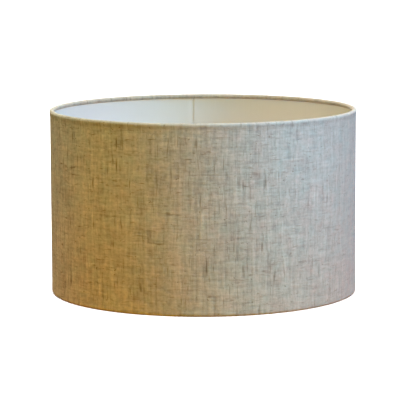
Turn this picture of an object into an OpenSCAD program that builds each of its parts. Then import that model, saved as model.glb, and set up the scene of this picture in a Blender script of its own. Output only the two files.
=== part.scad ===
// Drum lamp shade with rolled edges: linen laminated on a clear white PVC lining,
// closed by one taped overlap at the back. A plain wire ring stiffens the top edge.
// The bottom ring carries three cranked arms, the fitter ring and a loose reducer.
// Millimetres. +Z is up, and the origin is the centre of the bottom edge.

/* [Drum] */
// Outside diameter of the linen panel
drum_d = 400; // [300:10:500]
// Height from the bottom edge to the top edge
drum_h = 240; // [160:5:320]

/* [Cloth and lining] */
// Thickness of the linen
linen_t = 0.45; // [0.3:0.05:0.6]
// Thickness of the PVC lining
lining_t = 0.3; // [0.2:0.05:0.4]

/* [Wire rings] */
// Diameter of the ring wire
ring_wire_d = 5; // [3:0.5:6]
// Thickness of the adhesive tape round each ring
ring_tape_t = 0.1; // [0.06:0.02:0.2]
// How far the top roll stands out past the panel
top_proud = 0.7; // [0.1:0.1:1]
// How far the bottom roll stands out past the panel
bottom_proud = 0.05; // [0:0.05:0.5]

/* [Seam] */
// Place of the middle of the overlap, in degrees counterclockwise from +X
seam_angle = 92.1; // [80:0.1:100]
// Width of the overlap
lap_w = 10; // [10:1:16]
// Width of linen folded back under the free edge
hem_w = 8; // [4:1:8]
// Thickness of the double-sided tape in the overlap
seam_tape_t = 0.12; // [0.06:0.02:0.3]

/* [Arms] */
// Number of arms from the bottom ring to the fitter
arm_count = 3; // [3:1:3]
// Direction of the first arm, in degrees counterclockwise from +X
arm_angle = 30; // [0:1:59]
// Diameter of the arm wire
arm_d = 3; // [2.5:0.1:3.5]
// Height that the arms lift the fitter above the bottom ring
arm_rise = 15; // [10:1:30]
// Slope of the cranked part, in degrees
crank_slope = 40; // [30:1:50]
// Centre-line radius of each bend
bend_r = 8; // [6:1:12]
// Length of the straight end welded to the bottom ring
foot_l = 7.5; // [6:0.5:15]

/* [Fitter] */
// Hole for a lamp holder with a 40 mm thread
fitter_hole_d = 42; // [42:0.5:43]
// Outside diameter of the pressed fitter ring
fitter_d = 56; // [54:1:60]
// Height of its turned-down flange
fitter_h = 5; // [4:0.5:8]
// Thickness of its sheet steel
fitter_t = 1.2; // [1:0.1:1.5]

/* [Reducer] */
// Hole for a lamp holder with a 28 mm thread
reducer_hole_d = 29; // [28.5:0.5:30]
// Outside diameter of the reducer's flange
reducer_d = 49; // [46:1:52]
// Thickness of the flange
reducer_flange_t = 1.6; // [1.2:0.2:2.4]
// Depth of the spigot below the flange
spigot_h = 2.2; // [1.6:0.2:4]
// Radial play of the spigot in the fitter's hole
spigot_play = 0.2; // [0.1:0.05:0.4]
// Thickness of the spigot's wall and of the collar round the hole
reducer_wall = 1.5; // [1.2:0.1:2]
// Number of ribs between the collar and the spigot
rib_count = 6; // [3:1:8]

/* [Hidden] */

// Film of glue between two layers
glue = 0.02;
// Facets of the large circles, the wire sections and the small turned parts
fn_drum = 180;
fn_wire = 48;
fn_small = 96;

drum_r = drum_d / 2;
linen_in_r = drum_r - linen_t;
lining_out_r = linen_in_r - glue;
lining_in_r = lining_out_r - lining_t;

// Each edge is a stack round the wire: tape, glue, linen
wire_r = ring_wire_d / 2;
tape_r = wire_r + ring_tape_t;
roll_bore_r = tape_r + glue;
roll_r = roll_bore_r + linen_t;
top_wire_r = drum_r + top_proud - roll_r;
bottom_wire_r = drum_r + bottom_proud - roll_r;
top_wire_z = drum_h - roll_r;
bottom_wire_z = roll_r;

// The overlap, from the joggle to the free edge, stacked outwards from the panel.
// Angles are clockwise from its middle, seen from above.
lap_start = -arc(lap_w / 2);
lap_end = arc(lap_w / 2);
lap_z0 = 2 * roll_r + 0.3;
lap_z1 = drum_h - lap_z0;
// Slit between the inner end of the sheet and the joggle
slit_w = 0.1;
seam_tape_in_r = drum_r + glue;
seam_tape_out_r = seam_tape_in_r + seam_tape_t;
hem_in_r = seam_tape_out_r + glue;
hem_out_r = hem_in_r + linen_t;
lap_lining_in_r = hem_out_r + glue;
lap_lining_out_r = lap_lining_in_r + lining_t;
lap_linen_in_r = lap_lining_out_r + glue;
lap_linen_out_r = lap_linen_in_r + linen_t;

// The crank: two bends with a straight slope between them
arm_r = arm_d / 2;
slope_l = (arm_rise - 2 * bend_r * (1 - cos(crank_slope))) / sin(crank_slope);
crank_run = 2 * bend_r * sin(crank_slope) + slope_l * cos(crank_slope);
crank_out_r = bottom_wire_r - wire_r - foot_l;
crank_in_r = crank_out_r - crank_run;
arm_z = bottom_wire_z + arm_rise;
// A bend is a hair thinner than the straight wire and runs this many degrees into it
bend_inset = 0.01;
bend_lap = 2;
// Room round an arm where it passes through the turned-in linen
slit_play = 0.25;

fitter_r = fitter_d / 2;
fitter_hole_r = fitter_hole_d / 2;
fitter_top_z = arm_z + fitter_h / 2;
fitter_bend_r = fitter_t + 0.3;
edge_chamfer = 0.2;

reducer_hole_r = reducer_hole_d / 2;
spigot_r = fitter_hole_r - spigot_play;
reducer_z0 = fitter_top_z - spigot_h;
reducer_z1 = fitter_top_z + reducer_flange_t;
reducer_chamfer = 0.4;
rib_t = 1;

// Angle that a length takes up round the drum
function arc(length) = length / drum_r * 180 / PI;

// A curved wall between two radii, two heights and two angles
module arc_wall(r0, r1, z0, z1, a0, a1) {
    rotate_extrude(angle = a1 - a0, start = a0, $fn = fn_drum)
        translate([r0, z0])
            square([r1 - r0, z1 - z0]);
}

// The same at the overlap, with angles clockwise from its middle
module lap_wall(r0, r1, z0, z1, a0, a1) {
    arc_wall(r0, r1, z0, z1, seam_angle - a1, seam_angle - a0);
}

// A round wire or a thin tube bent into a ring
module torus(centre_r, z, section_r, bore_r = 0) {
    rotate_extrude($fn = fn_drum)
        translate([centre_r, z])
            difference() {
                circle(r = section_r, $fn = fn_wire);
                if (bore_r > 0) circle(r = bore_r, $fn = fn_wire);
            }
}

// Copies its children to the direction of each arm, with X pointing outwards
module at_arm(i) {
    rotate([0, 0, arm_angle + i * 360 / arm_count]) children();
}

// The slits in the turned-in edge where the arms leave the bottom ring
module arm_slits() {
    for (i = [0 : arm_count - 1])
        at_arm(i)
            translate([bottom_wire_r - 2 * roll_r, 0, bottom_wire_z])
                rotate([0, 90, 0])
                    cylinder(r = arm_r + slit_play, h = 2 * roll_r, $fn = fn_wire);
}

// Half section of the linen: the panel, and both ends rolled round their wires
module linen_section() {
    difference() {
        union() {
            translate([linen_in_r, bottom_wire_z])
                square([linen_t, top_wire_z - bottom_wire_z]);
            translate([bottom_wire_r, bottom_wire_z])
                circle(r = roll_r, $fn = fn_wire);
            translate([top_wire_r, top_wire_z])
                circle(r = roll_r, $fn = fn_wire);
        }
        translate([bottom_wire_r, bottom_wire_z])
            circle(r = roll_bore_r, $fn = fn_wire);
        translate([top_wire_r, top_wire_z])
            circle(r = roll_bore_r, $fn = fn_wire);
        // The raw edges stop short of the lining, which stands between them and the panel
        translate([lining_in_r - glue, bottom_wire_z])
            square([linen_in_r - lining_in_r + glue, top_wire_z - bottom_wire_z]);
    }
}

module linen_cover() {
    joggle = lap_start - arc(lining_t + glue);
    color("tan") {
        difference() {
            rotate_extrude($fn = fn_drum) linen_section();
            lap_wall(linen_in_r - 1, drum_r + 1, lap_z0, lap_z1,
                     joggle, lap_start + arc(slit_w));
            arm_slits();
        }
        // Joggle, overlap, fold at the free edge, and the hem under it
        lap_wall(linen_in_r, lap_linen_out_r, lap_z0, lap_z1, joggle - arc(linen_t), joggle);
        lap_wall(lap_linen_in_r, lap_linen_out_r, lap_z0, lap_z1,
                 joggle - arc(linen_t / 2), lap_end);
        lap_wall(hem_in_r, lap_linen_out_r, lap_z0, lap_z1, lap_end - arc(linen_t), lap_end);
        lap_wall(hem_in_r, hem_out_r, lap_z0, lap_z1,
                 lap_end - arc(hem_w), lap_end - arc(linen_t / 2));
    }
}

module lining_panel() {
    // Height over a wire's centre at which the lining clears the tape and the linen
    function clear(centre_r) = sqrt(pow(roll_bore_r, 2) - pow(lining_in_r - centre_r, 2)) + glue;
    z0 = bottom_wire_z + clear(bottom_wire_r);
    z1 = top_wire_z - clear(top_wire_r);
    color("white") {
        difference() {
            arc_wall(lining_in_r, lining_out_r, z0, z1, 0, 360);
            lap_wall(lining_in_r - 1, lining_out_r + 1, lap_z0, lap_z1,
                     lap_start, lap_start + arc(slit_w));
        }
        lap_wall(lining_in_r, lap_lining_out_r, lap_z0, lap_z1,
                 lap_start - arc(lining_t), lap_start);
        lap_wall(lap_lining_in_r, lap_lining_out_r, lap_z0, lap_z1,
                 lap_start - arc(lining_t / 2), lap_end - arc(linen_t + glue));
    }
}

module seam_tape() {
    color("ghostwhite")
        lap_wall(seam_tape_in_r, seam_tape_out_r, lap_z0, lap_z1,
                 lap_start + arc(0.5), lap_end - arc(0.5));
}

module top_ring() {
    color("gainsboro") torus(top_wire_r, top_wire_z, wire_r);
}

module bottom_ring() {
    color("gainsboro") torus(bottom_wire_r, bottom_wire_z, wire_r);
}

module top_ring_tape() {
    color("ghostwhite") torus(top_wire_r, top_wire_z, tape_r, wire_r + glue / 2);
}

module bottom_ring_tape() {
    color("ghostwhite")
        difference() {
            torus(bottom_wire_r, bottom_wire_z, tape_r, wire_r + glue / 2);
            arm_slits();
        }
}

// A straight piece of arm wire along +X
module arm_rod(length) {
    rotate([0, 90, 0]) cylinder(r = arm_r, h = length, $fn = fn_wire);
}

// A bend that starts at the origin towards -X and turns upwards, or downwards if mirrored
module arm_bend() {
    translate([0, 0, bend_r])
        rotate([90, 0, 0])
            rotate_extrude(angle = crank_slope + 2 * bend_lap, start = -90 - crank_slope - bend_lap,
                           $fn = fn_small)
                translate([bend_r, 0])
                    circle(r = arm_r - bend_inset, $fn = fn_wire);
}

// Foot on the ring, crank, and the long run to the fitter, both ends coped to what they meet
module fitter_arm(i) {
    color("gainsboro")
        at_arm(i)
            difference() {
                union() {
                    translate([crank_out_r, 0, bottom_wire_z])
                        arm_rod(bottom_wire_r - crank_out_r);
                    translate([crank_out_r, 0, bottom_wire_z])
                        arm_bend();
                    translate([crank_out_r - bend_r * sin(crank_slope), 0,
                               bottom_wire_z + bend_r * (1 - cos(crank_slope))])
                        rotate([0, crank_slope + 180, 0])
                            arm_rod(slope_l);
                    translate([crank_in_r, 0, arm_z])
                        rotate([0, 180, 0])
                            arm_bend();
                    translate([fitter_r - 1, 0, arm_z])
                        arm_rod(crank_in_r - fitter_r + 1);
                }
                torus(bottom_wire_r, bottom_wire_z, wire_r + glue / 2);
                cylinder(r = fitter_r + glue / 2, h = drum_h, $fn = fn_small);
            }
}

module fitter_arm_1() { fitter_arm(0); }
module fitter_arm_2() { fitter_arm(1); }
module fitter_arm_3() { fitter_arm(2); }

// Flat ring with its rim turned down, pressed from sheet
module fitter_ring() {
    bend_c = [fitter_r - fitter_bend_r, fitter_top_z - fitter_bend_r];
    color("gainsboro")
        rotate_extrude($fn = fn_small) {
            polygon([
                [fitter_hole_r, fitter_top_z - fitter_t],
                [bend_c[0], fitter_top_z - fitter_t],
                [bend_c[0], fitter_top_z],
                [fitter_hole_r + edge_chamfer, fitter_top_z],
                [fitter_hole_r, fitter_top_z - edge_chamfer]
            ]);
            polygon([
                [fitter_r - fitter_t, fitter_top_z - fitter_h + edge_chamfer],
                [fitter_r - fitter_t + edge_chamfer, fitter_top_z - fitter_h],
                [fitter_r - edge_chamfer, fitter_top_z - fitter_h],
                [fitter_r, fitter_top_z - fitter_h + edge_chamfer],
                [fitter_r, bend_c[1]],
                [fitter_r - fitter_t, bend_c[1]]
            ]);
            intersection() {
                translate(bend_c)
                    difference() {
                        circle(r = fitter_bend_r, $fn = fn_small);
                        circle(r = fitter_bend_r - fitter_t, $fn = fn_small);
                    }
                translate(bend_c) square(fitter_bend_r);
            }
        }
}

// Flange on top of the fitter, spigot in its hole, collar round the small hole, and ribs
module reducer_ring() {
    flange_r = reducer_d / 2;
    color("white") {
        rotate_extrude($fn = fn_small) {
            polygon([
                [reducer_hole_r, fitter_top_z],
                [flange_r, fitter_top_z],
                [flange_r, reducer_z1 - reducer_chamfer],
                [flange_r - reducer_chamfer, reducer_z1],
                [reducer_hole_r, reducer_z1]
            ]);
            translate([reducer_hole_r, reducer_z0])
                square([reducer_wall, spigot_h]);
            polygon([
                [spigot_r - reducer_wall, reducer_z0],
                [spigot_r - reducer_chamfer, reducer_z0],
                [spigot_r, reducer_z0 + reducer_chamfer],
                [spigot_r, fitter_top_z],
                [spigot_r - reducer_wall, fitter_top_z]
            ]);
        }
        for (i = [0 : rib_count - 1])
            rotate([0, 0, i * 360 / rib_count])
                translate([reducer_hole_r + reducer_wall / 2, -rib_t / 2, reducer_z0])
                    cube([spigot_r - reducer_hole_r - reducer_wall, rib_t, spigot_h]);
    }
}

linen_cover();
lining_panel();
seam_tape();
top_ring();
bottom_ring();
top_ring_tape();
bottom_ring_tape();
fitter_arm_1();
fitter_arm_2();
fitter_arm_3();
fitter_ring();
reducer_ring();
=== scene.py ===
# A drum lamp shade of slub linen on a white lining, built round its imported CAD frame.
# Metres, +Z up, front towards -Y. Cloth is laid out flat first: s runs round the drum from
# the inner end of the sheet, clockwise from above, and v runs across it from the bottom tuck
# to the top tuck.
import math

import bmesh
import bpy
from mathutils import Matrix, Vector, noise


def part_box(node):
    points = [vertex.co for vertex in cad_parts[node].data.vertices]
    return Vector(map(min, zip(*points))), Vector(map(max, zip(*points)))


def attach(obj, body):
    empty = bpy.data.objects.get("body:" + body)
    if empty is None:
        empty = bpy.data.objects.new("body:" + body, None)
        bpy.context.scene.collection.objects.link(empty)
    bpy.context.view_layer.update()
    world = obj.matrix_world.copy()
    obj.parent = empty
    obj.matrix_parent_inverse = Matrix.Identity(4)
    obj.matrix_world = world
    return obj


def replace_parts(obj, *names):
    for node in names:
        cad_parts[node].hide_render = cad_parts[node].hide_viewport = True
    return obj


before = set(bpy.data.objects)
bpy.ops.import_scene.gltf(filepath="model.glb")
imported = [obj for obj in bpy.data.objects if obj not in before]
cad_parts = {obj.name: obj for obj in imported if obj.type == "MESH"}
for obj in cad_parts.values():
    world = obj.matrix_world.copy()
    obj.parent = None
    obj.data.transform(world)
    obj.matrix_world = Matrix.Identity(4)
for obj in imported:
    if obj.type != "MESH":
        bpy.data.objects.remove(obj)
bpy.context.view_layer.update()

MM = 0.001

# ---------------------------------------------------------------- sizes from the frame

LINEN_T = 0.45 * MM
GLUE = 0.02 * MM


def wire_of(node):
    """Centre-line radius, height and section radius of a ring-shaped node."""
    low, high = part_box(node)
    section = (high.z - low.z) / 2
    return high.x - section, (high.z + low.z) / 2, section


TOP_R, TOP_Z, TAPE_R = wire_of("top_ring_tape")
BOTTOM_R, BOTTOM_Z, _ = wire_of("bottom_ring_tape")
LINING_LOW, LINING_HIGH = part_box("lining_panel")
LINING_T = 0.3 * MM
LINING_OUT_R = LINING_HIGH.x
LINEN_MID_R = LINING_OUT_R + GLUE + LINEN_T / 2
LINING_MID_R = LINING_OUT_R - LINING_T / 2
ROLL_MID_R = TAPE_R + GLUE + LINEN_T / 2
DRUM_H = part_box("linen_cover")[1].z
ROUND = 2 * math.pi * LINEN_MID_R

# The overlap, from the seam tape that closes it
TAPE_LOW, TAPE_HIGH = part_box("seam_tape")
TAPE_MARGIN = 0.5 * MM
SEAM_START = math.pi / 2 - math.asin(TAPE_LOW.x / TAPE_HIGH.y) + TAPE_MARGIN / LINEN_MID_R
LAP_W = TAPE_HIGH.x - TAPE_LOW.x + 2 * TAPE_MARGIN
HEM_W = 8 * MM
HEM_STEP = 0.47 * MM
LAP_RISE = 0.93 * MM
FOLD_R = (LINEN_T + LINING_T + 2 * GLUE) / 2
RAMP_W = 9 * MM
# The overlap's inner layers are trimmed this far from each edge, and the outer one comes down
# to the roll between here and the landing
LAP_TRIM = 9 * MM
LAP_LANDING = 5.6 * MM
# The sheet starts this far along, just clear of the step it lies against
INNER_END = 0.3 * MM
# The linen leaves the lining this far below the top wire
LEAN_H = 7 * MM

# Spacing of the mesh's columns on the panel, under the overlap and over it
PANEL_STEP, UNDER_STEP, OVER_STEP = 2.3 * MM, 1.6 * MM, 0.8 * MM
# The cloth is on the panel where it faces outwards at least this much
UPRIGHT = 0.9

ARM_R = 1.5 * MM
ARMS = ["fitter_arm_1", "fitter_arm_2", "fitter_arm_3"]


def arm_angle(node):
    """Direction of an arm from the drum's axis."""
    low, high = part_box(node)
    middle = (low + high) / 2
    return math.atan2(middle.y, middle.x)


# ---------------------------------------------------------------- small helpers


def around(s):
    """Angle on the drum of the place s along the cloth."""
    return SEAM_START - s / LINEN_MID_R


def smooth(x, x0, x1):
    """0 below x0, 1 above x1, and an S-curve between them."""
    t = min(1.0, max(0.0, (x - x0) / (x1 - x0)))
    return t * t * (3 - 2 * t)


def add_object(name, data):
    """A new object in the scene."""
    made = bpy.data.objects.new(name, data)
    bpy.context.scene.collection.objects.link(made)
    return made


def new_piece(name, mesh, body, material):
    """Adds a mesh as a piece that rides on a body."""
    piece = add_object(name, mesh)
    mesh.materials.append(material)
    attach(piece, body)
    return piece


def take_mesh(bm, name):
    """Turns a bmesh into a mesh and frees it."""
    mesh = bpy.data.meshes.new(name)
    bm.to_mesh(mesh)
    bm.free()
    return mesh


def shade_smooth(mesh):
    """Soft shading, with a crisp edge wherever two faces meet at more than 50 degrees."""
    mesh.polygons.foreach_set("use_smooth", [True] * len(mesh.polygons))
    mesh.set_sharp_from_angle(angle=math.radians(50))


# ---------------------------------------------------------------- materials


class Graph:
    """A material's node tree. A value is a number, a colour or another node's output."""

    def __init__(self, name):
        self.material = bpy.data.materials.new(name)
        self.material.use_nodes = True
        self.tree = self.material.node_tree
        self.tree.nodes.clear()

    def put(self, socket, value):
        if isinstance(value, bpy.types.NodeSocket):
            self.tree.links.new(value, socket)
        else:
            socket.default_value = value

    def node(self, kind, inputs=None, **settings):
        made = self.tree.nodes.new("ShaderNode" + kind)
        for key, value in settings.items():
            setattr(made, key, value)
        for key, value in (inputs or {}).items():
            self.put(made.inputs[key], value)
        return made

    def math(self, operation, *values):
        made = self.node("Math", operation=operation)
        for socket, value in zip(made.inputs, values):
            self.put(socket, value)
        return made.outputs[0]

    def vector(self, x, y, z=0.0):
        return self.node("CombineXYZ", {"X": x, "Y": y, "Z": z}).outputs[0]

    def noise(self, vector, detail, roughness, dimensions="2D"):
        """Noise from about -1 to 1, one cell per unit."""
        made = self.node("TexNoise", {"Vector": vector, "Scale": 1.0, "Detail": detail,
                                      "Roughness": roughness}, noise_dimensions=dimensions)
        return self.spread(made.outputs["Fac"], 0.25, 0.75, -1.0, 1.0)

    def spread(self, value, low, high, to_low=0.0, to_high=1.0, clamp=False):
        """The value taken from one range to another."""
        made = self.node("MapRange", {"Value": value, "From Min": low, "From Max": high,
                                      "To Min": to_low, "To Max": to_high}, clamp=clamp)
        return made.outputs[0]

    def mix(self, share, a, b):
        """Colour a, or b where the share is 1. The node's colour sockets are numbers 6 and 7."""
        made = self.node("Mix", data_type="RGBA")
        for index, value in ((0, share), (6, a), (7, b)):
            self.put(made.inputs[index], value)
        return made.outputs[2]

    def bump(self, height, distance, strength=1.0):
        made = self.node("Bump", {"Height": height, "Distance": distance, "Strength": strength})
        return made.outputs[0]

    def finish(self, **inputs):
        shader = self.node("BsdfPrincipled")
        for key, value in inputs.items():
            self.put(shader.inputs[key.replace("_", " ")], value)
        out = self.node("OutputMaterial")
        self.tree.links.new(shader.outputs[0], out.inputs[0])
        return self.material


def cloth_place(g):
    """Position on the flat cloth in millimetres, as two sockets."""
    uv = g.node("UVMap", uv_map="cloth").outputs[0]
    parts = g.node("SeparateXYZ", {"Vector": uv})
    return tuple(g.math("MULTIPLY", part, 1 / MM) for part in (parts.outputs[0], parts.outputs[1]))


def linen_material():
    """Plain-woven flax yarn: slubs both ways, bark flecks, and a weave of single threads."""
    g = Graph("linen")
    x0, y0 = cloth_place(g)

    def field(x, y, wide, tall, layer, detail=1.0):
        """Noise in cells of wide by tall millimetres, different for each layer."""
        place = g.vector(g.math("DIVIDE", x, wide), g.math("DIVIDE", y, tall), layer)
        return g.noise(place, detail, 0.5, "3D")

    # Threads wander a little from straight
    wander = 0.6
    x = g.math("MULTIPLY_ADD", field(x0, y0, 14.0, 45.0, 1.5), wander, x0)
    y = g.math("MULTIPLY_ADD", field(x0, y0, 45.0, 14.0, 2.5), wander, y0)

    # Thick and thin places in the yarn: upright in the warp, level in the weft
    warp = field(x, y, 3.8, 52.0, 3.5)
    warp_short = field(x, y, 3.0, 13.0, 4.5)
    weft = field(x, y, 26.0, 3.4, 5.5)
    weft_short = field(x, y, 9.5, 2.7, 6.5)
    nub = field(x, y, 3.5, 3.2, 7.5)
    patch = field(x, y, 30.0, 42.0, 8.5, 3.0)
    hue = field(x, y, 14.0, 14.0, 9.5, 4.0)

    # Single threads: warp over weft where the two thread numbers add up to an even one
    warp_pitch, weft_pitch, swing = 0.66, 0.72, 0.5
    turns_x = g.math("DIVIDE", x, warp_pitch)
    turns_y = g.math("DIVIDE", y, weft_pitch)

    def half_turns(value):
        """Sine of a number of half turns."""
        return g.math("SINE", g.math("MULTIPLY", value, math.pi))

    crown_x = half_turns(g.math("FRACT", turns_x))
    crown_y = half_turns(g.math("FRACT", turns_y))
    swing_x = half_turns(g.math("ADD", turns_y, g.math("FLOOR", turns_x)))
    swing_y = half_turns(g.math("ADD", turns_x, g.math("FLOOR", turns_y)))
    over = g.math("MULTIPLY_ADD", swing_x, swing, crown_x)
    under = g.math("MULTIPLY_ADD", swing_y, -swing, crown_y)
    weave = g.math("MAXIMUM", over, under)

    # Dark lines and flecks where the yarn carries bark
    dark_warp = g.spread(field(x, y, 3.0, 26.0, 10.5), 0.50, 1.30, clamp=True)
    dark_weft = g.spread(field(x, y, 15.0, 2.7, 11.5), 0.58, 1.35, clamp=True)
    fleck = g.spread(field(x, y, 4.2, 3.4, 12.5), 0.80, 1.25, clamp=True)
    dark = g.math("MAXIMUM", g.math("MAXIMUM", dark_warp, dark_weft), fleck)

    # The cloth's light and dark marks are made stronger round one side of the drum than round the other
    strongest_marks_at = math.radians(255)
    turned = g.math("MULTIPLY_ADD", x0, MM / LINEN_MID_R, -strongest_marks_at)
    mark_strength = g.math("MULTIPLY_ADD", g.math("COSINE", turned), 0.56, 1.24)
    # Each part's share in how light or dark the cloth is
    tone = 0.0
    # The weave's share is painted shade: the gaps between the threads are darker than their crowns
    for share, part in ((0.10, warp), (0.06, warp_short), (0.085, weft), (0.05, weft_short),
                        (0.08, nub), (0.035, patch), (0.08, g.math("SUBTRACT", weave, 0.9))):
        tone = g.math("MULTIPLY_ADD", part, share, tone)

    # Over the top of the upper wire the cloth is painted paler and its marks are weaker: a painted
    # highlight
    parts = g.node("SeparateXYZ", {"Vector": g.node("TexCoord").outputs["Object"]})
    place = g.vector(parts.outputs[0], parts.outputs[1])
    out = g.node("VectorMath", {0: place}, operation="LENGTH").outputs["Value"]
    height = parts.outputs[2]
    rim = g.spread(height, TOP_Z - 0.3 * MM, TOP_Z + 1.2 * MM, clamp=True)
    painted_roll_highlight = g.math("MULTIPLY_ADD", rim, 0.08, 1.0)
    tone = g.math("MULTIPLY", tone, g.math("MULTIPLY_ADD", rim, -0.5, 1.0))
    light = g.math("MULTIPLY_ADD", tone, mark_strength, 1.0)

    # Outside and just below the top roll the cloth is darkened by painted shade, most where the marks
    # are strongest
    fade_in = g.spread(height, TOP_Z - 6.5 * MM, TOP_Z - 3.0 * MM, clamp=True)
    fade_out = g.spread(height, TOP_Z + 0.3 * MM, TOP_Z - 1.2 * MM, clamp=True)
    outside = g.math("GREATER_THAN", out, TOP_R + 1.0 * MM)
    painted_roll_shadow = g.math("MULTIPLY", g.math("MULTIPLY", fade_in, fade_out), outside)
    painted_roll_shadow = g.math("MULTIPLY", painted_roll_shadow, g.math("MULTIPLY_ADD", mark_strength, -0.15, 0.07))
    light = g.math("MULTIPLY", light, g.math("ADD", painted_roll_highlight, painted_roll_shadow))

    bark = (0.170, 0.122, 0.070, 1)
    bark_share = g.math("MULTIPLY", g.math("MULTIPLY", dark, mark_strength), 0.56)
    flax = g.mix(g.spread(hue, -1.0, 1.0), (0.464, 0.379, 0.290, 1), (0.420, 0.406, 0.317, 1))
    colour = g.mix(bark_share, flax, bark)
    colour = g.node("VectorMath", {0: colour, 1: g.vector(light, light, light)},
                    operation="MULTIPLY").outputs[0]

    # Each part's share in how far the yarn stands out, in millimetres
    relief = 0.0
    for share, part in ((0.10, weave), (0.16, warp), (0.08, warp_short), (0.12, weft),
                        (0.08, weft_short), (0.06, nub)):
        relief = g.math("MULTIPLY_ADD", part, share, relief)
    normal = g.bump(relief, 1.0 * MM, 0.8)
    rough = g.spread(weave, 0.0, 1.4, 0.95, 0.82)
    return g.finish(Base_Color=colour, Roughness=rough, Normal=normal,
                    Specular_IOR_Level=0.25, Sheen_Weight=0.28, Sheen_Roughness=0.45)


def lining_material():
    """White PVC: a faint haze, faint upright streaks of painted shade for the linen's yarn showing
    through, and a fine grain.
    """
    g = Graph("lining")
    x, y = cloth_place(g)

    def field(wide, tall, detail, roughness=0.5):
        """Noise in cells of wide by tall millimetres."""
        return g.noise(g.vector(g.math("DIVIDE", x, wide), g.math("DIVIDE", y, tall)), detail, roughness)

    haze = field(50.0, 80.0, 3.0)
    # Painted shade: the linen's yarn as light from outside would show it through the PVC
    through = field(1.4, 30.0, 2.0)
    tone = g.math("MULTIPLY_ADD", haze, 0.012, g.math("MULTIPLY", through, 0.008))
    colour = g.mix(g.spread(tone, -0.03, 0.03), (0.755, 0.735, 0.667, 1), (0.795, 0.780, 0.718, 1))
    grain = field(0.35, 0.35, 2.0, 0.6)
    normal = g.bump(grain, 0.02 * MM, 0.5)
    return g.finish(Base_Color=colour, Roughness=g.spread(haze, -1.0, 1.0, 0.50, 0.58),
                    Normal=normal, Specular_IOR_Level=0.4)


def solid_material(name, low, high, rough, grain_size, grain_height):
    """A coated or moulded surface: a slow drift in colour and a fine grain."""
    g = Graph(name)
    place = g.node("TexCoord").outputs["Object"]
    drift_size, rough_change = 12 * MM, 0.05

    def field(size, detail, roughness):
        scaled = g.node("VectorMath", {0: place, "Scale": 1 / size}, operation="SCALE").outputs[0]
        return g.noise(scaled, detail, roughness, "3D")

    drift = field(drift_size, 3.0, 0.55)
    grain = field(grain_size, 2.0, 0.5)
    colour = g.mix(g.spread(drift, -1.0, 1.0), low, high)
    roughness = g.spread(drift, -1.0, 1.0, rough - rough_change, rough + rough_change)
    return g.finish(Base_Color=colour, Roughness=roughness, Normal=g.bump(grain, grain_height))


LINEN = linen_material()
LINING = lining_material()
STEEL = solid_material("white_powder_coat", (0.69, 0.69, 0.67, 1), (0.75, 0.75, 0.73, 1),
                       0.42, 0.7 * MM, 0.03 * MM)
TAPE = solid_material("white_tape", (0.74, 0.73, 0.68, 1), (0.82, 0.81, 0.77, 1),
                      0.60, 0.5 * MM, 0.01 * MM)
PLASTIC = solid_material("white_plastic", (0.60, 0.60, 0.57, 1), (0.66, 0.66, 0.64, 1),
                         0.38, 0.4 * MM, 0.01 * MM)

# ---------------------------------------------------------------- the sheet, laid out flat


def arc_points(centre, radius, start, end, steps):
    """Points (r, z) on an arc round a wire. Angles in degrees, 0 outwards and 90 up."""
    points = []
    for k in range(steps + 1):
        a = math.radians(start + (end - start) * k / steps)
        points.append((centre[0] + radius * math.cos(a), centre[1] + radius * math.sin(a)))
    return points


def linen_profile():
    """Middle line of the linen in section, from the bottom tuck to the top tuck.

    Also gives, for each point, its length along the cloth and the direction it faces."""
    bottom_steps, top_steps = 30, 36
    panel_rows, lean_rows = 34, 10
    # The lowest rows of the panel are close together, where the cloth eases back from the roll
    close_rows, close_step, ease = 4, 2 * MM, 6 * MM
    lining_in = LINING_OUT_R - LINING_T - GLUE
    tuck_bottom = math.degrees(math.acos((lining_in - BOTTOM_R) / ROLL_MID_R))
    tuck_top = 360 - math.degrees(math.acos((lining_in - TOP_R) / ROLL_MID_R))
    points = arc_points((BOTTOM_R, BOTTOM_Z), ROLL_MID_R, tuck_bottom, 360, bottom_steps)
    bottom_proud = BOTTOM_R + ROLL_MID_R - LINEN_MID_R
    panel_top = TOP_Z - LEAN_H
    for k in range(1, panel_rows):
        if k < close_rows:
            z = BOTTOM_Z + close_step * k
        else:
            z = BOTTOM_Z + (panel_top - BOTTOM_Z) * k / panel_rows
        points.append((LINEN_MID_R + bottom_proud * (1 - smooth(z, BOTTOM_Z, BOTTOM_Z + ease)), z))
    # Below the top roll it leaves the lining and leans out to the roll
    top_proud = TOP_R + ROLL_MID_R - LINEN_MID_R
    for k in range(lean_rows):
        share = k / lean_rows
        points.append((LINEN_MID_R + top_proud * smooth(share, 0, 1), panel_top + LEAN_H * share))
    points += arc_points((TOP_R, TOP_Z), ROLL_MID_R, 0, tuck_top, top_steps)
    return with_lengths(points)


def with_lengths(points):
    """(r, z, length along the line, outward r, outward z) for each point."""
    profile, length = [], 0.0
    for k, (r, z) in enumerate(points):
        before, after = points[max(0, k - 1)], points[min(len(points) - 1, k + 1)]
        if k:
            length += math.hypot(r - before[0], z - before[1])
        along = Vector((after[0] - before[0], after[1] - before[1])).normalized()
        profile.append((r, z, length, along.y, -along.x))
    return profile


def lap_offset(s):
    """How far a layer is pushed outwards by what lies under it, at length s round the drum."""
    hem_edge = ROUND + LAP_W - HEM_W
    over_ends = LAP_RISE * smooth(s, ROUND - RAMP_W, ROUND)
    over_hem = HEM_STEP * smooth(s, hem_edge - 1.5 * MM, hem_edge + 0.8 * MM)
    return over_ends + over_hem


def panel_wave(theta, z):
    """The slight unevenness of the panel between its rings, outwards."""
    turn_scale, height_scale = 1.7, 0.16
    wave, inset = 0.45 * MM, 0.05 * MM
    t = (z - LINING_LOW.z) / (LINING_HIGH.z - LINING_LOW.z)
    free = math.sin(math.pi * min(1.0, max(0.0, t)))
    place = Vector((turn_scale * math.cos(theta), turn_scale * math.sin(theta), z / height_scale))
    return free * (wave * noise.noise(place) - inset)


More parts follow.
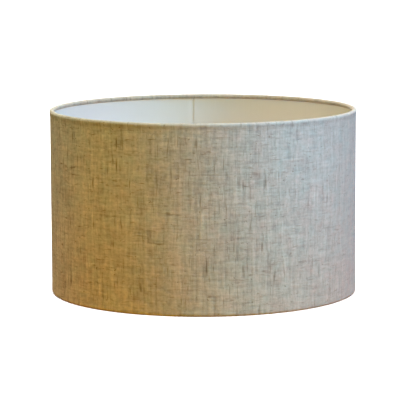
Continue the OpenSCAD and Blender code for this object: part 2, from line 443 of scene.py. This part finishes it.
def roll_wave(s, v, inward):
    """Unevenness of the rolled edges, always outwards from the wire, with puckers on the inside."""
    slow = noise.noise(Vector((s / (22 * MM), v / (9 * MM), 3.1)))
    pucker = noise.noise(Vector((s / (4.5 * MM), v / (6 * MM), 8.7)))
    return 0.09 * MM * (1 + slow) + 0.13 * MM * inward * max(0.0, pucker)


def roll_share(z):
    """How much of the rolls' unevenness reaches the panel at height z."""
    fade = 4 * MM
    return max(1 - smooth(z, BOTTOM_Z, BOTTOM_Z + fade), smooth(z, TOP_Z - fade, TOP_Z))


def even_steps(start, end, step):
    """Places from start up to, but without, end."""
    n = max(1, round((end - start) / step))
    return [start + (end - start) * k / n for k in range(n)]


class Column:
    """One line across the cloth: place round the drum, push outwards, length along the cloth.

    side is -1 or 1 on the two sides of an arm's slit."""

    def __init__(self, s, push, length, kind, side=0):
        self.s, self.push, self.length, self.kind, self.side = s, push, length, kind, side


def linen_columns():
    """Columns from the inner end of the sheet, once round, over the overlap and back as the hem."""
    columns = []

    def flat(s, kind, side=0):
        """A column that lies on the lining."""
        columns.append(Column(s, 0.0, s, kind, side))

    # On the rolls, where there is no overlap, the sheet's two ends meet here
    start = LAP_W - 0.6 * LINEN_T
    for s in even_steps(INNER_END, start, UNDER_STEP):
        flat(s, "inner")
    cuts = sorted((SEAM_START - arm_angle(a)) % (2 * math.pi) * LINEN_MID_R for a in ARMS)
    near = [0.5 * MM, 1.0 * MM, 1.5 * MM, 2.0 * MM, 2.6 * MM, 3.4 * MM, 4.6 * MM]
    for cut in cuts:
        for s in even_steps(start, cut - near[-1], PANEL_STEP):
            flat(s, "main")
        for d in reversed(near):
            flat(cut - d, "main", -1)
        flat(cut, "cut", -1)
        flat(cut, "cut_twin", 1)
        for d in near[:-1]:
            flat(cut + d, "main", 1)
        start = cut + near[-1]
    for s in even_steps(start, ROUND - RAMP_W, PANEL_STEP):
        flat(s, "main")
    fold_s = ROUND + LAP_W - LINEN_T / 2 - FOLD_R
    for s in even_steps(ROUND - RAMP_W, fold_s, OVER_STEP):
        columns.append(Column(s, lap_offset(s), s, "outer"))
    # Half a turn round the lining's end, and back under it
    fold_steps, hem_steps = 10, 8
    top = lap_offset(fold_s)
    for k in range(fold_steps + 1):
        a = math.pi * k / fold_steps
        columns.append(Column(fold_s + FOLD_R * math.sin(a), top - FOLD_R * (1 - math.cos(a)),
                              fold_s + FOLD_R * a, "outer" if k <= fold_steps // 2 else "hem"))
    for k in range(1, hem_steps + 1):
        back = (HEM_W - FOLD_R) * k / hem_steps
        length = fold_s + FOLD_R * math.pi + back
        columns.append(Column(fold_s - back, top - 2 * FOLD_R, length, "hem"))
    return columns, cuts


def lap_share(z):
    """How much of the overlap's offset is left at height z: none at the rolled edges."""
    return smooth(z, LAP_LANDING, LAP_TRIM) * (1 - smooth(z, DRUM_H - LAP_TRIM, DRUM_H - LAP_LANDING))


def slit_half_width(z, inward):
    """Half the width of the cut that lets an arm through the turned-in edge.

    On the roll's inner side it's a round hole with the arm's own shape."""
    play, inner_side = 0.12 * MM, 0.2
    if inward > inner_side:
        return math.sqrt(max(play ** 2, (ARM_R + play) ** 2 - (z - BOTTOM_Z) ** 2))
    return play


def inside_trim(low, high, slack):
    """True if a cell between two heights is clear of both edges by the overlap's trim."""
    return low > LAP_TRIM - slack and high < DRUM_H - LAP_TRIM + slack


def add_cells(bm, uv_layer, grid, lengths, widths, is_cloth):
    """Faces between the grid's points, with their places on the flat cloth as UVs."""
    for i in range(len(lengths) - 1):
        for j in range(len(widths) - 1):
            if not is_cloth(i, j):
                continue
            corners = ((i, j), (i, j + 1), (i + 1, j + 1), (i + 1, j))
            face = bm.faces.new([grid[a][b] for a, b in corners])
            for loop, (a, b) in zip(face.loops, corners):
                loop[uv_layer].uv = (lengths[a], widths[b])
    bmesh.ops.delete(bm, geom=[v for v in bm.verts if not v.link_faces], context="VERTS")


def build_linen():
    """The linen in one piece: panel, rolled edges, overlap, hem and slits."""
    slit_fade = 3.5 * MM
    profile = linen_profile()
    columns, cuts = linen_columns()
    bm = bmesh.new()
    uv_layer = bm.loops.layers.uv.new("cloth")
    slit_bottom = BOTTOM_Z - ARM_R - 0.15 * MM
    last_slit_row = max(j for j, (r, z, *_) in enumerate(profile)
                        if r < BOTTOM_R and slit_bottom < z < 3 * BOTTOM_Z)
    grid = []
    for i, c in enumerate(columns):
        line = []
        for j, (r, z, v, out_r, out_z) in enumerate(profile):
            if c.kind == "cut_twin" and j > last_slit_row:
                line.append(grid[i - 1][j])
                continue
            s = c.s
            inward = max(0.0, -out_r)
            on_panel = out_r > UPRIGHT and BOTTOM_Z < z < TOP_Z
            push = c.push * lap_share(z) if on_panel else 0.0
            # Nothing pushes the cloth down through the plane that the shade stands on
            stands_free = min(1.0, 1.0 + out_z)
            push += roll_wave(s, v, inward) * stands_free * (roll_share(z) if on_panel else 1.0)
            if c.side and j <= last_slit_row:
                cut = min(cuts, key=lambda x: abs(x - s))
                s += c.side * slit_half_width(z, inward) * math.exp(-abs(s - cut) / slit_fade)
            theta = around(s)
            push += panel_wave(theta, z) if on_panel else 0.0
            radius, height = r + out_r * push, z + out_z * push
            line.append(bm.verts.new((radius * math.cos(theta), radius * math.sin(theta), height)))
        grid.append(line)

    def is_cloth(i, j):
        """The slits are open, and the overlap's inner layers are trimmed at the edges."""
        kinds = (columns[i].kind, columns[i + 1].kind)
        if kinds == ("cut", "cut_twin"):
            return False
        if "inner" in kinds or "hem" in kinds:
            (_, low, _, low_out, _), (_, high, _, high_out, _) = profile[j], profile[j + 1]
            return low_out > UPRIGHT and high_out > UPRIGHT and inside_trim(low, high, 0.5 * MM)
        return True

    lengths, widths = [c.length for c in columns], [point[2] for point in profile]
    add_cells(bm, uv_layer, grid, lengths, widths, is_cloth)
    piece = new_piece("linen_cloth", take_mesh(bm, "linen_cloth"), "shade", LINEN)
    thicken(piece, LINEN_T)
    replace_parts(piece, "linen_cover")


def thicken(piece, thickness):
    """Turns a middle surface into a closed shell."""
    solid = piece.modifiers.new("thickness", "SOLIDIFY")
    solid.thickness = thickness
    solid.offset = 0.0
    solid.use_even_offset = True
    apply_modifiers(piece)
    shade_smooth(piece.data)


def apply_modifiers(piece):
    """Makes a piece's modifiers part of its mesh."""
    bpy.context.view_layer.update()
    graph = bpy.context.evaluated_depsgraph_get()
    mesh = bpy.data.meshes.new_from_object(piece.evaluated_get(graph), depsgraph=graph)
    piece.modifiers.clear()
    old = piece.data
    piece.data = mesh
    bpy.data.meshes.remove(old)


def build_lining():
    """The PVC: once round on the inside, then out under the overlap."""
    rows, step = 36, 2.6 * MM
    end = ROUND + LAP_W - LINEN_T - GLUE - LINING_T / 2
    places = even_steps(INNER_END, ROUND - RAMP_W, step)
    places += even_steps(ROUND - RAMP_W, end, OVER_STEP) + [end]
    low, high = LINING_LOW.z, LINING_HIGH.z
    heights = [low + (high - low) * j / rows for j in range(rows + 1)]
    heights = sorted(heights + [LAP_TRIM, DRUM_H - LAP_TRIM])
    bm = bmesh.new()
    uv_layer = bm.loops.layers.uv.new("cloth")
    grid = []
    for s in places:
        theta = around(s)
        line = []
        for z in heights:
            radius = LINING_MID_R + lap_offset(s) * lap_share(z) + panel_wave(theta, z)
            line.append(bm.verts.new((radius * math.cos(theta), radius * math.sin(theta), z)))
        grid.append(line)

    def is_cloth(i, j):
        """The overlap's outer layer is trimmed at the edges."""
        return places[i + 1] <= ROUND or inside_trim(heights[j], heights[j + 1], 0.001 * MM)

    add_cells(bm, uv_layer, grid, places, heights, is_cloth)
    piece = new_piece("lining_sheet", take_mesh(bm, "lining_sheet"), "shade", LINING)
    thicken(piece, LINING_T)
    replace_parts(piece, "lining_panel")


# ---------------------------------------------------------------- fitter and reducer


def rounded(corners, steps=4):
    """A closed section (r, z) from corners (r, z, rounding radius)."""
    points = []
    for k, (r, z, radius) in enumerate(corners):
        here = Vector((r, z))
        to_before = (Vector(corners[k - 1][:2]) - here).normalized()
        to_after = (Vector(corners[(k + 1) % len(corners)][:2]) - here).normalized()
        half = to_before.angle(to_after) / 2
        middle = here + (to_before + to_after).normalized() * radius / math.sin(half)
        start = here + to_before * radius / math.tan(half) - middle
        turn = start.angle_signed(here + to_after * radius / math.tan(half) - middle)
        for j in range(steps + 1):
            points.append(middle + Matrix.Rotation(-turn * j / steps, 2) @ start)
    return points


def join_rings(bm, rings):
    """Faces between closed sections, each with the next one and the last with the first."""
    for i, ring in enumerate(rings):
        following = rings[(i + 1) % len(rings)]
        for j in range(len(ring)):
            n = (j + 1) % len(ring)
            bm.faces.new((ring[j], following[j], following[n], ring[n]))


def turned(bm, section, steps=144):
    """Adds a section (r, z) turned round the drum's axis."""
    rings = []
    for i in range(steps):
        a = 2 * math.pi * i / steps
        rings.append([bm.verts.new((p.x * math.cos(a), p.x * math.sin(a), p.y)) for p in section])
    join_rings(bm, rings)


def closed_mesh(bm, name):
    """Turns a bmesh of closed shells into a mesh, with its faces outwards."""
    bmesh.ops.recalc_face_normals(bm, faces=bm.faces)
    return take_mesh(bm, name)


def solid_piece(bm, name, body, material):
    """Adds a bmesh of closed shells as a piece."""
    piece = new_piece(name, closed_mesh(bm, name), body, material)
    shade_smooth(piece.data)
    return piece


FITTER_LOW, FITTER_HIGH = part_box("fitter_ring")
FITTER_HOLE_R = 21 * MM
FITTER_T = 1.2 * MM


def build_fitter():
    """The pressed ring: a flat top with its rim turned down round a soft bend."""
    r, low, high = FITTER_HIGH.x, FITTER_LOW.z, FITTER_HIGH.z
    inner_r, under = r - FITTER_T, high - FITTER_T
    small, inside, soft, bend = 0.25 * MM, 0.3 * MM, 0.5 * MM, 1.5 * MM
    bm = bmesh.new()
    turned(bm, rounded([
        (FITTER_HOLE_R, under, small), (inner_r, under, inside), (inner_r, low, small),
        (r, low, small), (r, high, bend), (FITTER_HOLE_R, high, soft)]))
    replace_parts(solid_piece(bm, "fitter_plate", "shade", STEEL), "fitter_ring")


def build_welds():
    """A bead round each arm where it meets the fitter's rim."""
    rim, height = FITTER_HIGH.x, (FITTER_LOW.z + FITTER_HIGH.z) / 2
    steps, ripples = 72, 11
    # Millimetres out along the arm, and out from its middle. The last two are inside the arm
    section = [(-0.40, 1.20), (-0.40, 2.30), (0.05, 2.32), (0.35, 2.20), (0.62, 2.00), (0.85, 1.82),
               (1.05, 1.68), (1.25, 1.57), (1.42, 1.44), (1.42, 1.20)]
    bm = bmesh.new()
    for arm in ARMS:
        a = arm_angle(arm)
        out = Vector((math.cos(a), math.sin(a), 0))
        side = Vector((-math.sin(a), math.cos(a), 0))
        rings = []
        for i in range(steps):
            b = 2 * math.pi * i / steps
            radial = side * math.cos(b) + Vector((0, 0, math.sin(b)))
            unevenness = noise.noise(Vector((math.cos(b), math.sin(b), 5 * a)))
            ripple = 0.05 * math.sin(ripples * b) + 0.10 * unevenness
            ring = []
            for k, (u, q) in enumerate(section):
                puff = ripple if 0 < k < len(section) - 2 else 0.0
                place = out * (rim + (u + puff) * MM) + radial * (q + puff) * MM
                ring.append(bm.verts.new(place + Vector((0, 0, height))))
            rings.append(ring)
        join_rings(bm, rings)
    solid_piece(bm, "weld_beads", "shade", STEEL)


def build_reducer():
    """A flange over a spigot and a collar, with ribs between the two below."""
    low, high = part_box("reducer_ring")
    seat = FITTER_HIGH.z
    hole, thick, play = 14.5 * MM, 1.5 * MM, 0.2 * MM
    collar = hole + thick
    spigot = FITTER_HOLE_R - play
    spigot_in = spigot - thick
    small, inside, lead_in, soft = 0.25 * MM, 0.3 * MM, 0.4 * MM, 0.5 * MM
    bm = bmesh.new()
    turned(bm, rounded([
        (hole, low.z, small), (collar, low.z, small), (collar, seat, inside),
        (spigot_in, seat, inside), (spigot_in, low.z, small), (spigot, low.z, lead_in),
        (spigot, seat, inside), (high.x, seat, small), (high.x, high.z, soft), (hole, high.z, soft)]))
    piece = solid_piece(bm, "reducer", "reducer", PLASTIC)
    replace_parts(piece, "reducer_ring")

    # Each rib runs a little way into the collar, the spigot and the flange
    ribs, rib_t, into, recess, rib_round = 6, 1.0 * MM, 0.2 * MM, 0.15 * MM, 0.15 * MM
    length, deep = spigot_in - collar + 2 * into, seat - low.z + 0.1 * MM
    middle = (collar - into + length / 2, 0, low.z + recess + deep / 2)
    bm = bmesh.new()
    for k in range(ribs):
        made = bmesh.ops.create_cube(bm, size=1.0)["verts"]
        turn = Matrix.Rotation(2 * math.pi * k / ribs, 3, "Z")
        bmesh.ops.scale(bm, vec=(length, rib_t, deep), verts=made)
        bmesh.ops.translate(bm, vec=middle, verts=made)
        bmesh.ops.rotate(bm, cent=(0, 0, 0), matrix=turn, verts=made)
        edges = {e for v in made for e in v.link_edges}
        bmesh.ops.bevel(bm, geom=list(edges), offset=rib_round, segments=2, affect="EDGES", profile=0.5)
    tool = add_object("ribs", closed_mesh(bm, "ribs"))
    join = piece.modifiers.new("ribs", "BOOLEAN")
    join.operation, join.solver, join.object = "UNION", "EXACT", tool
    apply_modifiers(piece)
    shade_smooth(piece.data)
    ribs_mesh = tool.data
    bpy.data.objects.remove(tool)
    bpy.data.meshes.remove(ribs_mesh)


# ---------------------------------------------------------------- CAD nodes that stay


def dress(material, *names):
    """Gives CAD nodes a material of this script."""
    for name in names:
        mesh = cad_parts[name].data
        mesh.materials.clear()
        mesh.materials.append(material)


dress(STEEL, "top_ring", "bottom_ring", *ARMS)
dress(TAPE, "top_ring_tape", "bottom_ring_tape", "seam_tape")
build_linen()
build_lining()
build_fitter()
build_welds()
build_reducer()

# ---------------------------------------------------------------- floor, camera and light


def add_floor():
    """A white table top that goes back to the horizon. The cloth's light doesn't come off it."""
    half_width = 30.0
    bm = bmesh.new()
    bmesh.ops.create_grid(bm, x_segments=2, y_segments=2, size=half_width)
    floor = add_object("floor", take_mesh(bm, "floor"))
    white = Graph("floor").finish(Base_Color=(0.93, 0.93, 0.93, 1), Roughness=0.9,
                                  Specular_IOR_Level=0.0)
    floor.data.materials.append(white)
    for ray in ("diffuse", "glossy", "transmission", "shadow"):
        setattr(floor, "visible_" + ray, False)
    return floor


def add_camera():
    """A long lens in front, a little above the rim and looking down on it.

    Its place, angles and focal length were fitted to the edges in the photo."""
    place = (-0.0063, -2.9552, 0.5305)
    looks_down, yaw, roll = math.radians(7.942), math.radians(-0.036), math.radians(-0.244)
    camera = bpy.data.cameras.new("camera")
    camera.lens = 204.1
    camera.sensor_width = 36.0
    camera.clip_end = 100.0
    view = add_object("camera", camera)
    level = math.pi / 2
    turn = Matrix.Rotation(yaw, 4, "Z") @ Matrix.Rotation(level - looks_down, 4, "X")
    view.matrix_world = Matrix.Translation(place) @ turn @ Matrix.Rotation(roll, 4, "Z")
    bpy.context.scene.camera = view


# Points on the drum's axis that the lights are aimed at
MIDDLE = Vector((0.0, 0.0, 0.12))
LOW_DOWN = Vector((0.0, 0.0, 0.04))


def direction(side, up):
    """Unit vector at angles in degrees: to the right of the front, and up."""
    side, up = math.radians(side), math.radians(up)
    return Vector((math.sin(side) * math.cos(up), -math.cos(side) * math.cos(up), math.sin(up)))


def add_light(name, kind, place, target, colour, receivers, size=None):
    """A light at a place, aimed at a target, with a strength for each of red, green and blue."""
    lamp = bpy.data.lights.new(name, kind)
    strongest = max(colour)
    lamp.color = [c / strongest for c in colour]
    lamp.energy = strongest
    if kind == "AREA":
        lamp.shape = "SQUARE"
        lamp.size = size
    light = add_object(name, lamp)
    light.location = place
    light.rotation_euler = (target - place).to_track_quat("-Z", "Y").to_euler()
    light.visible_camera = False
    light.light_linking.receiver_collection = receivers
    return light


def add_softbox(name, side, up, colour):
    """A large soft light far from the drum, aimed at its middle."""
    reach, size = 2.6, 1.2
    add_light(name, "AREA", MIDDLE + reach * direction(side, up), MIDDLE, colour, on_shade, size)


def add_reflector(name, side, reach, height, colour):
    """A small weak light close to the drum. A low one stands for light off the table."""
    size = 0.3
    place = reach * direction(side, 0)
    place.z = height
    target = MIDDLE if height > 0 else LOW_DOWN
    add_light(name, "AREA", place, target, colour, on_shade, size)


def add_world():
    """A plain white background to look at, which gives no light."""
    world = bpy.data.worlds.new("studio")
    world.use_nodes = True
    tree = world.node_tree
    tree.nodes.clear()
    path = tree.nodes.new("ShaderNodeLightPath")
    seen = tree.nodes.new("ShaderNodeBackground")
    seen.inputs["Color"].default_value = (1.0, 1.0, 1.0, 1)
    out = tree.nodes.new("ShaderNodeOutputWorld")
    tree.links.new(path.outputs["Is Camera Ray"], seen.inputs["Strength"])
    tree.links.new(seen.outputs[0], out.inputs[0])
    bpy.context.scene.world = world


def light_group(name, pieces):
    """The pieces that a light reaches."""
    group = bpy.data.collections.new(name)
    for piece in pieces:
        group.objects.link(piece)
    return group


floor = add_floor()
add_camera()
add_world()
solids = [o for o in bpy.context.scene.objects if o.type == "MESH" and o != floor]
on_floor = light_group("lit_floor", [floor])
on_shade = light_group("lit_shade", solids)
# Power in watts in red, green and blue. A least-squares program worked these out from the photo's
# colours, and only back and table_right were changed after that
add_softbox("overhead", 0, 89, (54.8, 52.0, 53.5))
add_softbox("back", 180, 40, (59.0, 56.5, 49.5))
add_softbox("cool_right", 75, 25, (16.3, 34.6, 60.5))
add_softbox("warm_right", 30, 5, (36.0, 26.8, 0.3))
add_softbox("warm_front", 15, 25, (11.5, 6.2, 0.0))
add_softbox("warm_left", -100, 25, (24.4, 19.5, 10.1))
add_reflector("table_left", -55, 0.8, -0.4, (2.84, 1.10, 0.15))
add_reflector("table_right", 80, 0.8, -0.4, (1.5, 0.1, 0.0))
add_reflector("card_left", -60, 0.6, 0.6, (0.23, 0.67, 0.45))
add_reflector("card_right", 35, 0.6, 0.3, (0.0, 0.69, 2.05))
# A soft sun, in watts per square metre, that keeps the floor white all over
sun = add_light("floor_light", "SUN", Vector((0.0, 0.0, 3.0)), Vector((0.0, 0.0, 0.0)),
                (8.0, 8.0, 8.0), on_floor)
sun.data.angle = math.radians(60)
bpy.context.scene.view_settings.view_transform = "Standard"
